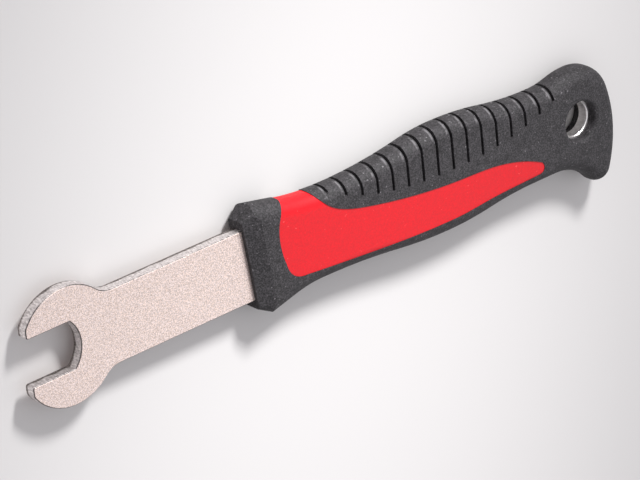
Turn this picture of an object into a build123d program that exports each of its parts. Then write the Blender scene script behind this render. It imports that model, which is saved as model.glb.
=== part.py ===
from build123d import *
import os
from math import cos, radians, sin, sqrt, tan

# Pedal wrench lying on its face, in millimetres.
# X runs from the nut's axis in the jaw to the butt of the handle, Y across the blade, Z out of its face.
# Z = 0 is the middle of the steel plate.

# Steel blade
plate_thickness = 4.0
jaw_width = 15.0
jaw_tip_x = -7.7
jaw_tip_radius = 2.6
jaw_lip_radius = 0.8
throat_radius = 10.6
lobe_x = 6.4
lobe_offset = 2.1
lobe_radius = 16.4
neck_radius = 8.0
blade_width = 23.4
shoulder_depth = 11.7
shoulder_step = 2.2
shoulder_radius = 1.5
edge_break = 0.3

# Hanging hole through the tang and the handle
hole_to_butt = 15.7
hole_radius = 5.5
mouth_step = 0.8
mouth_lip_radius = 1.3
mouth_wall = 3.0

# Handle, seen from its face, in stretches that follow each other from the front of its collar.
# A share says how much of a stretch between two of its widths curves the first way
half_thickness = 5.4
edge_flat = 0.6
collar_front_x = 72.3
collar_length = 5.3
collar_lean = 5.7
collar_side_wall = 2.9
collar_face_wall = 1.3
collar_front_radius = 1.0
collar_crest_half_width = 18.2
waist_half_width = 14.1
collar_to_upper_waist = 33.7
upper_flare_radius = 99.0
upper_flare_angle = 11.5
collar_to_lower_waist = 25.7
lower_flare_radius = 40.0
lower_flare_angle = 14.0
waist_to_belly = 43.5
upper_belly_half_width = 18.1
lower_belly_half_width = 17.5
upper_waist_share = 0.7
lower_waist_share = 0.6
belly_to_neck = 40.5
upper_neck_half_width = 14.5
lower_neck_half_width = 15.0
lower_neck_front = 6.0
lower_neck_back = 4.0

# Butt of the handle
neck_to_butt = 30.3
butt_end_radius = 42.0
butt_end_y = -5.0
butt_top_y = 16.7
butt_top_radius = 13.0
butt_heel_y = -23.8
butt_heel_radius = 4.5

# Red core under the rubber. It comes up to the surface as a panel, whose border passes these points.
# Its lower border keeps a margin to the edge of the handle
rubber_wall = 1.8
collar_to_core = 9.7
panel_recess = 0.2
collar_to_panel = 10.15
panel_front_y = 7.5
panel_front_lean = 7.5
panel_bend_lean = 1.2
panel_bend_y = 12.4
panel_front_low_lean = 1.5
panel_front_low_y = -3.0
panel_corner_length = 9.05
panel_corner_margin = 5.1
panel_belly_shift = 0.5
panel_belly_margin = 4.7
panel_low_shift = 15.5
panel_low_y = -11.8
panel_tip_to_neck = 2.2
panel_tip_margin = 5.9
panel_tip_radius = 2.0
panel_tip_upper_turn = 26.0
panel_tip_lower_turn = 3.0
panel_back_shift = 18.5
panel_back_y = -1.9
panel_flat_shift = 4.5
panel_flat_y = -1.1
panel_middle_shift = 13.2
panel_middle_y = 3.2
panel_shoulder_shift = -0.9
panel_shoulder_y = 7.3
panel_top_length = 12.25

# Grooves along the upper edge
groove_count = 16
collar_to_groove = 30.6
groove_pitch = 6.04
groove_width = 1.0
groove_depth = 1.2
groove_lowest_shift = 1.0
groove_lowest_y = 3.0
groove_rise = 9.5
groove_rise_power = 2.4

# How far cutters run past what they cut
run_off = 10.0

# Sizes that follow from the ones above
half_plate = plate_thickness / 2
half_jaw = jaw_width / 2
throat_corner_x = sqrt(throat_radius**2 - half_jaw**2)
tang_width = blade_width - 2 * shoulder_step
shoulder_x = collar_front_x + shoulder_depth
edge_radius = half_thickness - edge_flat
collar_front_half_width = blade_width / 2 + collar_side_wall
collar_front_half_thickness = half_plate + collar_face_wall
upper_waist_x = collar_front_x + collar_to_upper_waist
lower_waist_x = collar_front_x + collar_to_lower_waist
belly_x = upper_waist_x + waist_to_belly
neck_x = belly_x + belly_to_neck
butt_x = neck_x + neck_to_butt
hole_x = butt_x - hole_to_butt
mouth_radius = hole_radius + mouth_step
core_front_x = collar_front_x + collar_to_core
panel_front_x = collar_front_x + collar_to_panel
butt_centre = Vector(butt_x - butt_end_radius, butt_end_y)
lean_direction = Vector(cos(radians(collar_lean)), sin(radians(collar_lean)))
above = collar_crest_half_width + run_off
reach = 2 * butt_x


def butt_corner(edge_y, radius):
    """Centre of a round corner between an edge of the handle and the arc of its butt end."""
    centre_y = edge_y - radius if edge_y > butt_end_y else edge_y + radius
    centre_x = butt_centre.X + sqrt((butt_end_radius - radius) ** 2 - (centre_y - butt_end_y) ** 2)
    return Vector(centre_x, centre_y)


def swept_edge(start, end, share=0.5):
    """Two arcs that leave the start along X, meet at that share of the way and reach the end along X."""
    middle = start + (end - start) * share
    first = TangentArc(start, middle, tangent=Vector(end.X - start.X, 0))
    TangentArc(middle, end, tangent=first % 1)


def flared_edge(waist, radius, angle, side):
    """From a waist, an arc and then a straight line out to the collar's crest and past it."""
    flare = waist + Vector(-sin(radians(angle)), side * (1 - cos(radians(angle)))) * radius
    front_x = collar_front_x - collar_length
    front = Vector(front_x, flare.Y + side * tan(radians(angle)) * (flare.X - front_x))
    TangentArc(waist, flare, tangent=(-1, 0))
    Line(flare, front)
    return front


def handle_outline():
    """Outline of the handle seen from its face, all in arcs that run into each other."""
    top = butt_corner(butt_top_y, butt_top_radius)
    heel = butt_corner(butt_heel_y, butt_heel_radius)
    top_end = top + (top - butt_centre).normalized() * butt_top_radius
    heel_end = heel + (heel - butt_centre).normalized() * butt_heel_radius
    drop = -lower_neck_half_width - heel.Y
    hock_x = neck_x + lower_neck_back
    hock_radius = (heel.X - hock_x) ** 2 - butt_heel_radius**2 + drop**2
    hock_radius = hock_radius / (2 * (butt_heel_radius + drop))
    hock = Vector(hock_x, -lower_neck_half_width - hock_radius)
    heel_start = heel + (hock - heel).normalized() * butt_heel_radius
    upper_waist = Vector(upper_waist_x, waist_half_width)
    upper_belly = Vector(belly_x, upper_belly_half_width)
    upper_neck = Vector(neck_x, upper_neck_half_width)
    hock_end = Vector(hock_x, -lower_neck_half_width)
    lower_neck = Vector(neck_x - lower_neck_front, -lower_neck_half_width)
    lower_belly = Vector(belly_x, -lower_belly_half_width)
    lower_waist = Vector(lower_waist_x, -waist_half_width)
    with BuildSketch() as outline:
        with BuildLine():
            upper_front = flared_edge(upper_waist, upper_flare_radius, upper_flare_angle, 1)
            swept_edge(upper_waist, upper_belly, upper_waist_share)
            swept_edge(upper_belly, upper_neck)
            swept_edge(upper_neck, Vector(top.X, butt_top_y))
            TangentArc((top.X, butt_top_y), top_end, tangent=(1, 0))
            ThreePointArc(top_end, (butt_x, butt_end_y), heel_end)
            ThreePointArc(heel_end, (heel.X, butt_heel_y), heel_start)
            TangentArc(hock_end, heel_start, tangent=(1, 0))
            Line(hock_end, lower_neck)
            swept_edge(lower_neck, lower_belly)
            swept_edge(lower_belly, lower_waist, 1 - lower_waist_share)
            lower_front = flared_edge(lower_waist, lower_flare_radius, lower_flare_angle, -1)
            Line(upper_front, lower_front)
        make_face()
    return outline.sketch


def handle_bar(inset):
    """Handle with its long edges rounded, before its front end is shaped, inset all round."""
    with BuildPart() as bar:
        with BuildSketch():
            add(handle_outline())
            if inset > 0:
                offset(amount=-inset)
        extrude(amount=half_thickness - inset, both=True)
        rims = bar.faces().filter_by(Plane.XY).edges()
        front = rims.filter_by(Axis.Y)
        fillet(rims - front, edge_radius - inset)
    return bar.part


def collar_room(inset):
    """All the room behind the collar's tapered nose, which leans in the plane of the blade."""
    width_slope = (collar_crest_half_width - collar_front_half_width) / collar_length
    thickness_slope = (half_thickness - collar_front_half_thickness) / collar_length
    depth = 2 * collar_length
    front = Plane(
        origin=(collar_front_x + inset, 0, 0),
        x_dir=(lean_direction.Y, -lean_direction.X, 0),
        z_dir=lean_direction,
    )
    front_width = 2 * (collar_front_half_width - inset)
    front_thickness = 2 * (collar_front_half_thickness - inset)
    with BuildPart() as room:
        with BuildSketch(front):
            RectangleRounded(front_width, front_thickness, collar_front_radius)
        with BuildSketch(front.offset(depth)):
            RectangleRounded(
                front_width + 2 * width_slope * depth,
                front_thickness + 2 * thickness_slope * depth,
                collar_front_radius + thickness_slope * depth,
            )
        loft()
        with BuildSketch(front.offset(depth)):
            Rectangle(reach, reach)
        extrude(amount=reach)
    return room.part


def handle_body(inset):
    """Whole outside of the handle, inset all round."""
    with BuildPart() as body:
        add(handle_bar(inset))
        add(collar_room(inset), mode=Mode.INTERSECT)
    return body.part


def panel_prism():
    """The panel's outline carried through both faces. It runs off the handle over the upper edge."""
    with BuildPart() as prism:
        with BuildSketch():
            with BuildLine():
                front_top_x = panel_front_x + panel_front_lean
                rise_x = panel_front_x + panel_top_length
                tip = Vector(neck_x - panel_tip_to_neck, panel_tip_margin - lower_neck_half_width)
                tip_centre = tip - Vector(panel_tip_radius, 0)
                upper_side = Vector(0, 1).rotate(Axis.Z, -panel_tip_upper_turn)
                lower_side = Vector(0, -1).rotate(Axis.Z, panel_tip_lower_turn)
                front_bend = (panel_front_x + panel_bend_lean, panel_bend_y)
                front_low = (panel_front_x + panel_front_low_lean, panel_front_low_y)
                corner = (panel_front_x + panel_corner_length, panel_corner_margin - waist_half_width)
                belly = (belly_x + panel_belly_shift, panel_belly_margin - lower_belly_half_width)
                tip_low = tip_centre + lower_side * panel_tip_radius
                tip_high = tip_centre + upper_side * panel_tip_radius
                off_tip = upper_side.rotate(Axis.Z, 90)
                to_tip = lower_side.rotate(Axis.Z, 90)
                low = (belly_x + panel_low_shift, panel_low_y)
                back = (belly_x + panel_back_shift, panel_back_y)
                flat = (belly_x + panel_flat_shift, panel_flat_y)
                middle = (upper_waist_x + panel_middle_shift, panel_middle_y)
                shoulder = (upper_waist_x + panel_shoulder_shift, panel_shoulder_y)
                rise = (rise_x, collar_crest_half_width)
                front_top = (front_top_x, collar_crest_half_width)
                Spline(front_top, front_bend, (panel_front_x, panel_front_y), front_low)
                Spline(front_low, corner, tangents=[(0.2, -1), (1, 0)])
                Spline(corner, belly, tangents=[(1, -0.1), (1, 0)])
                Spline(belly, low, tip_low, tangents=[(1, 0), to_tip])
                ThreePointArc(tip_low, tip, tip_high)
                Spline(tip_high, back, flat, middle, shoulder, rise, tangents=[off_tip, (-0.55, 0.83)])
                Polyline(rise, (rise_x, above), (front_top_x, above), front_top)
            make_face()
        extrude(amount=half_thickness + panel_recess, both=True)
    return prism.part


def panel_land():
    """The raised part of the core that shows as the panel, a little below the rubber's surface."""
    with BuildPart() as land:
        add(handle_body(panel_recess))
        add(panel_prism(), mode=Mode.INTERSECT)
    return land.part


def groove_cutters():
    """Short slots across the upper edge. Their lower ends follow the belly."""
    first_x = collar_front_x + collar_to_groove
    lowest_x = belly_x + groove_lowest_shift
    with BuildPart() as cutters:
        with BuildSketch():
            for index in range(groove_count):
                x = first_x + index * groove_pitch
                away = abs(x - lowest_x) / (lowest_x - first_x)
                low_y = groove_lowest_y + groove_rise * away**groove_rise_power + groove_width / 2
                with Locations((x, low_y)):
                    Circle(groove_width / 2)
                with Locations((x, (low_y + above) / 2)):
                    Rectangle(groove_width, above - low_y)
        extrude(amount=half_thickness + groove_depth, both=True)
        add(handle_body(groove_depth), mode=Mode.SUBTRACT)
    return cutters.part


# Steel blade: jaw, neck and shank in one plate, and the narrower tang inside the handle
with BuildPart() as steel_blade:
    with BuildSketch() as blade_plan:
        with Locations((lobe_x, lobe_offset), (lobe_x, -lobe_offset)):
            Circle(lobe_radius)
        with Locations(((lobe_x + shoulder_x) / 2, 0)):
            Rectangle(shoulder_x - lobe_x, blade_width)
        neck_x_near = lobe_x + sqrt(lobe_radius**2 - (blade_width / 2 - lobe_offset) ** 2)
        necks = blade_plan.vertices().filter_by_position(Axis.X, neck_x_near - 0.1, neck_x_near + 0.1)
        fillet(necks, neck_radius)
        with Locations(((shoulder_x + hole_x) / 2, 0)):
            Rectangle(hole_x - shoulder_x, tang_width)
        with Locations((hole_x, 0)):
            Circle(tang_width / 2)
        with Locations((hole_x, 0)):
            Circle(hole_radius, mode=Mode.SUBTRACT)
        with Locations((jaw_tip_x, 0)):
            Rectangle(lobe_radius, 3 * lobe_radius, align=(Align.MAX, Align.CENTER), mode=Mode.SUBTRACT)
        with BuildLine():
            Polyline(
                (throat_corner_x, -half_jaw),
                (-lobe_radius, -half_jaw),
                (-lobe_radius, half_jaw),
                (throat_corner_x, half_jaw),
            )
            ThreePointArc(
                (throat_corner_x, half_jaw),
                (throat_radius, 0),
                (throat_corner_x, -half_jaw),
            )
        make_face(mode=Mode.SUBTRACT)
        tips = blade_plan.vertices().group_by(Axis.X)[0].sort_by(Axis.Y)
        fillet([tips[0], tips[-1]], jaw_tip_radius)
        lips = blade_plan.vertices().filter_by_position(Axis.Y, -half_jaw - 0.01, half_jaw + 0.01)
        fillet(lips.group_by(Axis.X)[0], jaw_lip_radius)
        steps = blade_plan.vertices().filter_by_position(Axis.X, shoulder_x - 0.01, shoulder_x + 0.01)
        steps = steps.filter_by_position(Axis.Y, -tang_width / 2 - 0.01, tang_width / 2 + 0.01)
        fillet(steps, shoulder_radius)
    extrude(amount=half_plate, both=True)
    chamfer(steel_blade.faces().filter_by(Plane.XY).edges(), edge_break)

# Hard red core moulded on the tang. Its panel comes up through the rubber on both faces
with BuildPart() as handle_core:
    add(handle_bar(rubber_wall))
    with BuildSketch(Plane.YZ.offset(core_front_x)):
        Rectangle(reach, reach)
    extrude(amount=-core_front_x, mode=Mode.SUBTRACT)
    with BuildSketch():
        with Locations((hole_x, 0)):
            Circle(mouth_radius + mouth_wall)
    extrude(amount=half_thickness, both=True, mode=Mode.SUBTRACT)
    add(panel_land())
    add(steel_blade.part, mode=Mode.SUBTRACT)

# Black rubber moulded over the core, with the collar, the grooves and the hanging hole's soft mouth
with BuildPart() as grip_cover:
    add(handle_body(0))
    add(groove_cutters(), mode=Mode.SUBTRACT)
    with BuildSketch():
        with Locations((hole_x, 0)):
            Circle(mouth_radius)
    extrude(amount=half_thickness, both=True, mode=Mode.SUBTRACT)
    mouth = grip_cover.faces().filter_by(Plane.XY).edges().filter_by(GeomType.CIRCLE)
    mouth = mouth.filter_by(lambda edge: abs(edge.radius - mouth_radius) < 0.01)
    fillet(mouth, mouth_lip_radius)
    add(panel_prism(), mode=Mode.SUBTRACT)
    add(handle_core.part, mode=Mode.SUBTRACT)
    add(steel_blade.part, mode=Mode.SUBTRACT)

os.makedirs("parts", exist_ok=True)
steel_blade.part.label = "steel_blade"
handle_core.part.label = "handle_core"
grip_cover.part.label = "grip_cover"
export_step(steel_blade.part, "parts/steel_blade.step")
export_step(handle_core.part, "parts/handle_core.step")
export_step(grip_cover.part, "parts/grip_cover.step")
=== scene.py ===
import bmesh
import bpy
from math import radians
from mathutils import Matrix, Vector


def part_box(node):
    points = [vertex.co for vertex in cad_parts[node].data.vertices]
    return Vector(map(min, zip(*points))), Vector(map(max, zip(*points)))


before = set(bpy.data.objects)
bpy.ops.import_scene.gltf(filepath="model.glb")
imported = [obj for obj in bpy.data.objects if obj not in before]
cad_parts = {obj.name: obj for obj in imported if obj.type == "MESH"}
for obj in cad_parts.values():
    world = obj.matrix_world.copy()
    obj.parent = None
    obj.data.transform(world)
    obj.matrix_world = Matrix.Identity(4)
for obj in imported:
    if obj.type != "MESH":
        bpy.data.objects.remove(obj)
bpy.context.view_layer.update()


# Steel blade. One plate of spring steel, stamped to shape, tumbled and plated, with its faces blasted to a
# fine warm satin. The stamped rim is bright where it was sheared and dull where it tore. Its broken edges
# are painted dark as painted shade, and the wall of the hanging hole is polished and painted brighter as a
# painted reflection.

def feed(tree, socket, value):
    """Sets a socket to a number or a colour, or links it to another node's output."""
    if isinstance(value, bpy.types.NodeSocket):
        tree.links.new(value, socket)
    else:
        socket.default_value = value


def noise(tree, vector, waves, detail, roughness):
    """Noise over a vector, with so many waves per metre."""
    node = tree.nodes.new("ShaderNodeTexNoise")
    feed(tree, node.inputs["Vector"], vector)
    feed(tree, node.inputs["Scale"], waves)
    feed(tree, node.inputs["Detail"], detail)
    feed(tree, node.inputs["Roughness"], roughness)
    return node.outputs["Fac"]


def stretch(tree, value, low, high, out_low=0.0, out_high=1.0):
    """A value stretched from one range to another, and held at its ends."""
    node = tree.nodes.new("ShaderNodeMapRange")
    feed(tree, node.inputs["Value"], value)
    feed(tree, node.inputs["From Min"], low)
    feed(tree, node.inputs["From Max"], high)
    feed(tree, node.inputs["To Min"], out_low)
    feed(tree, node.inputs["To Max"], out_high)
    return node.outputs["Result"]


def arithmetic(tree, operation, *values):
    """One step of arithmetic on values, which are sockets or numbers."""
    node = tree.nodes.new("ShaderNodeMath")
    node.operation = operation
    for socket, value in zip(node.inputs, values):
        feed(tree, socket, value)
    return node.outputs["Value"]


def mix(tree, factor, first, second, kind="RGBA"):
    """The first colour turning into the second as the factor goes from 0 to 1. Kind FLOAT mixes numbers."""
    node = tree.nodes.new("ShaderNodeMix")
    node.data_type = kind
    feed(tree, node.inputs["Factor"], factor)
    feed(tree, node.inputs["A"], first)
    feed(tree, node.inputs["B"], second)
    return node.outputs["Result"]


def bump(tree, height, depth):
    """A bump from a height, with its depth in metres."""
    node = tree.nodes.new("ShaderNodeBump")
    feed(tree, node.inputs["Height"], height)
    feed(tree, node.inputs["Distance"], depth)
    return node.outputs["Normal"]


def split_axes(tree, place):
    """The coordinates X, Y and Z of a place, each by itself."""
    node = tree.nodes.new("ShaderNodeSeparateXYZ")
    feed(tree, node.inputs["Vector"], place)
    return node.outputs


# The same fine grain, wide soft patches and sparse specks lie on the steel, the plastic and the rubber
grain_group = bpy.data.node_groups.new("Mottled Grain", "ShaderNodeTree")
grain_group.interface.new_socket("Vector", in_out="INPUT", socket_type="NodeSocketVector")
for label in ("Grain Scale", "Patch Scale", "Speck Scale", "Speck Level"):
    grain_group.interface.new_socket(label, in_out="INPUT", socket_type="NodeSocketFloat")
for label in ("Grain", "Patches", "Specks"):
    grain_group.interface.new_socket(label, in_out="OUTPUT", socket_type="NodeSocketFloat")
given = grain_group.nodes.new("NodeGroupInput").outputs
made = grain_group.nodes.new("NodeGroupOutput").inputs
speck_full_level = 0.80
fine = noise(grain_group, given["Vector"], given["Grain Scale"], detail=3.0, roughness=0.6)
wide = noise(grain_group, given["Vector"], given["Patch Scale"], detail=3.0, roughness=0.55)
sparse = noise(grain_group, given["Vector"], given["Speck Scale"], detail=1.0, roughness=0.5)
feed(grain_group, made["Grain"], fine)
feed(grain_group, made["Patches"], wide)
feed(grain_group, made["Specks"], stretch(grain_group, sparse, given["Speck Level"], speck_full_level))


def grained_material(name, grain_scale, patch_scale, speck_scale, speck_level):
    """A new material with its shader, its object coordinates and the grain that lies on them."""
    material = bpy.data.materials.new(name)
    material.use_nodes = True
    tree = material.node_tree
    place = tree.nodes.new("ShaderNodeTexCoord").outputs["Object"]
    grain = tree.nodes.new("ShaderNodeGroup")
    grain.node_tree = grain_group
    feed(tree, grain.inputs["Vector"], place)
    feed(tree, grain.inputs["Grain Scale"], grain_scale)
    feed(tree, grain.inputs["Patch Scale"], patch_scale)
    feed(tree, grain.inputs["Speck Scale"], speck_scale)
    feed(tree, grain.inputs["Speck Level"], speck_level)
    return material, tree, tree.nodes["Principled BSDF"].inputs, place, grain.outputs


def dress(node_name, material):
    """Gives a stamped or moulded piece its finish."""
    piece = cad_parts[node_name]
    piece.data.materials.clear()
    piece.data.materials.append(material)


steel, tree, shader, place, grain = grained_material(
    "Blasted Plated Steel", grain_scale=2900.0, patch_scale=75.0, speck_scale=1900.0, speck_level=0.66
)
axes = split_axes(tree, place)

# Blasted faces, in grains of two hues
pale_grains = (0.90, 0.755, 0.685, 1), (0.86, 0.755, 0.735, 1)
dark_grains = (0.47, 0.375, 0.325, 1), (0.50, 0.42, 0.40, 1)
pit_tone = (0.42, 0.34, 0.29, 1)
hue_spread = 0.38, 0.62
sparkle_spread = 0.36, 0.60
hue = stretch(tree, noise(tree, place, waves=2100.0, detail=2.0, roughness=0.6), *hue_spread)
sparkle = stretch(tree, grain["Grain"], *sparkle_spread)
face_tone = mix(tree, sparkle, mix(tree, hue, *dark_grains), mix(tree, hue, *pale_grains))
face_tone = mix(tree, grain["Specks"], face_tone, pit_tone)

# Stamped rim, streaked through the plate. Its ragged tear runs along the lower face
streak_squeeze = (1.0, 1.0, 0.45)
streak_spread = 0.34, 0.64
sheared_tones = (0.48, 0.44, 0.43, 1), (0.92, 0.87, 0.855, 1)
torn_tones = (0.07, 0.058, 0.052, 1), (0.32, 0.285, 0.27, 1)
tear_wander = -0.0042
plate_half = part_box("steel_blade")[1].z
tear_low = -plate_half - 0.0013
tear_high = -plate_half - 0.0009
streak_place = tree.nodes.new("ShaderNodeMapping")
feed(tree, streak_place.inputs["Vector"], place)
feed(tree, streak_place.inputs["Scale"], streak_squeeze)
streak_noise = noise(tree, streak_place.outputs["Vector"], waves=1700.0, detail=3.0, roughness=0.65)
streak = stretch(tree, streak_noise, *streak_spread)
tear_height = arithmetic(tree, "MULTIPLY_ADD", grain["Patches"], tear_wander, axes["Z"])
sheared = stretch(tree, tear_height, tear_low, tear_high)
rim_tone = mix(tree, sheared, mix(tree, streak, *torn_tones), mix(tree, streak, *sheared_tones))

# Broken edges, which part the rim from the faces, painted dark as painted shade along them
break_shade_tones = (0.06, 0.052, 0.05, 1), (0.20, 0.18, 0.175, 1)
break_low = plate_half - 0.00036
break_high = plate_half - 0.00026
face_low = plate_half - 0.00006
face_high = plate_half - 0.00002
height = arithmetic(tree, "ABSOLUTE", axes["Z"])
on_break = stretch(tree, height, break_low, break_high)
on_face = stretch(tree, height, face_low, face_high)
edge_tone = mix(tree, on_break, rim_tone, mix(tree, streak, *break_shade_tones))
plate_tone = mix(tree, on_face, edge_tone, face_tone)

# Polished wall of the hanging hole, at the end of the tang, with its colour painted brighter as a painted
# reflection of light through the hole
bore_painted_light_tones = (0.80, 0.77, 0.76, 1), (1.0, 0.98, 0.97, 1)
bore_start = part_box("steel_blade")[1].x - 0.020
bore_fade = 0.0005
in_bore = stretch(tree, axes["X"], bore_start, bore_start + bore_fade)
feed(tree, shader["Base Color"], mix(tree, in_bore, plate_tone, mix(tree, streak, *bore_painted_light_tones)))

rim_rough, face_rough = 0.50, 0.60
dull_bore_rough, bright_bore_rough = 0.42, 0.30
plate_rough = stretch(tree, on_face, 0.0, 1.0, rim_rough, face_rough)
bore_rough = stretch(tree, streak, 0.0, 1.0, dull_bore_rough, bright_bore_rough)
feed(tree, shader["Roughness"], mix(tree, in_bore, plate_rough, bore_rough, kind="FLOAT"))
feed(tree, shader["Metallic"], 1.0)
feed(tree, shader["Normal"], bump(tree, grain["Grain"], depth=0.00005))
dress("steel_blade", steel)


# Handle core. Hard red plastic, moulded on the tang in the first shot of the mould. Its panel comes up to
# the surface of the rubber. It has a semi-gloss skin with a faint ripple. It lights the floor as if it
# were grey, so it casts no pink on it.

red_tones = (0.37, 0.002, 0.006, 1), (0.72, 0.005, 0.013, 1)
red_speck_tone = (0.74, 0.06, 0.06, 1)
cast_tone = (0.30, 0.29, 0.29, 1)
ripple_spread = 0.3, 0.7
smooth_rough, rippled_rough = 0.40, 0.54
red, tree, shader, _, grain = grained_material(
    "Red Moulded Plastic", grain_scale=1800.0, patch_scale=70.0, speck_scale=1100.0, speck_level=0.74
)
red_tone = mix(tree, grain["Specks"], mix(tree, grain["Grain"], *red_tones), red_speck_tone)
cast = tree.nodes.new("ShaderNodeLightPath").outputs["Is Diffuse Ray"]
feed(tree, shader["Base Color"], mix(tree, cast, red_tone, cast_tone))
feed(tree, shader["Roughness"], stretch(tree, grain["Grain"], *ripple_spread, smooth_rough, rippled_rough))
feed(tree, shader["Specular IOR Level"], 0.25)
feed(tree, shader["Normal"], bump(tree, grain["Grain"], depth=0.00002))
dress("handle_core", red)


# Grip cover. Soft black rubber, moulded over the core in the second shot. It has a spark-eroded matte skin,
# lighter where it is handled, with a little dust on it.

rubber_pits = (0.005, 0.0045, 0.005, 1), (0.012, 0.011, 0.012, 1)
rubber_skin = (0.031, 0.0275, 0.031, 1), (0.056, 0.051, 0.056, 1)
dust_tone = (0.16, 0.15, 0.16, 1)
handled_spread = 0.3, 0.7
raised_spread = 0.42, 0.60
rubber, tree, shader, place, grain = grained_material(
    "Matte Black Rubber", grain_scale=2000.0, patch_scale=420.0, speck_scale=1300.0, speck_level=0.675
)
handled = stretch(tree, grain["Patches"], *handled_spread)
raised = stretch(tree, grain["Grain"], *raised_spread)
rubber_tone = mix(tree, raised, mix(tree, handled, *rubber_pits), mix(tree, handled, *rubber_skin))
rubber_tone = mix(tree, grain["Specks"], rubber_tone, dust_tone)

# Painted highlight: each rib is painted lighter along the groove behind it, where it turns over the upper
# edge
lip_highlight_tone = (0.135, 0.128, 0.135, 1)
groove_count = 16
groove_pitch = 0.00604
first_lip_x = 0.1018
last_lip_x = first_lip_x + (groove_count - 1) * groove_pitch
end_fade = 0.001
lip_core, lip_border = 0.0001, 0.0005
upper_side_y = 0.004, 0.006
off_middle_z = 0.0005, 0.0020
short_of_face_z = 0.0046, 0.0052
highlight_spread = 0.42, 0.56
least_highlight = 0.15
axes = split_axes(tree, place)
from_first_lip = arithmetic(tree, "SUBTRACT", axes["X"], first_lip_x)
from_lip = arithmetic(tree, "PINGPONG", from_first_lip, groove_pitch / 2)
from_middle = arithmetic(tree, "ABSOLUTE", axes["Z"])
lip_highlight = stretch(tree, from_lip, lip_core, lip_border, 1.0, 0.0)
for limit in (
    stretch(tree, axes["X"], first_lip_x - end_fade, first_lip_x),
    stretch(tree, axes["X"], last_lip_x, last_lip_x + end_fade, 1.0, 0.0),
    stretch(tree, axes["Y"], *upper_side_y),
    stretch(tree, from_middle, *off_middle_z),
    stretch(tree, from_middle, *short_of_face_z, 1.0, 0.0),
    stretch(tree, grain["Patches"], *highlight_spread, least_highlight, 1.0),
):
    lip_highlight = arithmetic(tree, "MULTIPLY", lip_highlight, limit)

rough_spread = 0.3, 0.7
raised_rough, pitted_rough = 0.62, 0.78
# The base colour carries the painted highlights on the groove lips
feed(tree, shader["Base Color"], mix(tree, lip_highlight, rubber_tone, lip_highlight_tone))
feed(tree, shader["Roughness"], stretch(tree, grain["Grain"], *rough_spread, raised_rough, pitted_rough))
feed(tree, shader["Specular IOR Level"], 0.42)
feed(tree, shader["Normal"], bump(tree, grain["Grain"], depth=0.00010))
dress("grip_cover", rubber)


# Studio. A plain pale floor that the tool lies on, in a pale cool room. One soft lamp stands beyond
# the grooved edge and lays a pool of light, and a card on the near side puts a sheen on the red.

floor_reach = 6.0
floor_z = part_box("grip_cover")[0].z
floor_shape = bmesh.new()
bmesh.ops.create_grid(floor_shape, x_segments=1, y_segments=1, size=floor_reach)
bmesh.ops.translate(floor_shape, verts=floor_shape.verts, vec=(0.0, 0.0, floor_z))
floor_mesh = bpy.data.meshes.new("floor")
floor_shape.to_mesh(floor_mesh)
floor_shape.free()
floor_finish = bpy.data.materials.new("Pale Floor")
floor_finish.use_nodes = True
floor_shader = floor_finish.node_tree.nodes["Principled BSDF"].inputs
floor_shader["Base Color"].default_value = (0.62, 0.605, 0.60, 1)
floor_shader["Roughness"].default_value = 0.9
floor_mesh.materials.append(floor_finish)
floor = bpy.data.objects.new("floor", floor_mesh)
bpy.context.scene.collection.objects.link(floor)


def aimed_lamp(name, kind, place, target, watts):
    """A studio lamp that points from its place to a target."""
    light = bpy.data.lights.new(name, kind)
    light.energy = watts
    lamp = bpy.data.objects.new(name, light)
    lamp.location = place
    lamp.rotation_euler = (Vector(target) - Vector(place)).to_track_quat("-Z", "Y").to_euler()
    bpy.context.scene.collection.objects.link(lamp)
    return lamp


tool_middle = (0.11, 0.0, 0.0)
pool_middle = (0.10, -0.055, 0.0)
key_lamp = aimed_lamp("key_light", "SPOT", place=(0.34, 0.88, 0.59), target=pool_middle, watts=92.0)
key_lamp.data.spot_size = radians(22.0)
key_lamp.data.spot_blend = 1.0
key_lamp.data.shadow_soft_size = 0.12
sheen_card = aimed_lamp("sheen_card", "AREA", place=(0.86, -0.53, 0.85), target=tool_middle, watts=2.4)
sheen_card.data.size = 0.7
sheen_card.visible_diffuse = False

world = bpy.data.worlds.new("Pale Room")
world.use_nodes = True
room = world.node_tree.nodes["Background"].inputs
room["Color"].default_value = (0.975, 0.965, 1.0, 1)
room["Strength"].default_value = 0.70
bpy.context.scene.world = world
bpy.context.scene.view_settings.view_transform = "Standard"


# Camera. Its long lens, its place and its turn are the ones that were matched to the straight edges of
# the blade and to the hanging hole and the grooves.

camera_data = bpy.data.cameras.new("camera")
camera_data.sensor_width = 36.0
camera_data.lens = 225.0
camera_data.clip_start = 0.05
camera_data.clip_end = 30.0
camera_place = (-0.56397, 0.49402, 0.84396)
right = Vector((0.75359, -0.09551, 0.65037))
up = Vector((0.34113, 0.90255, -0.26272))
back = Vector((-0.5619, 0.41985, 0.71274))
turn = Matrix((right, up, back)).transposed().to_4x4()
camera = bpy.data.objects.new("camera", camera_data)
camera.matrix_world = Matrix.Translation(camera_place) @ turn
bpy.context.scene.collection.objects.link(camera)
bpy.context.scene.camera = camera
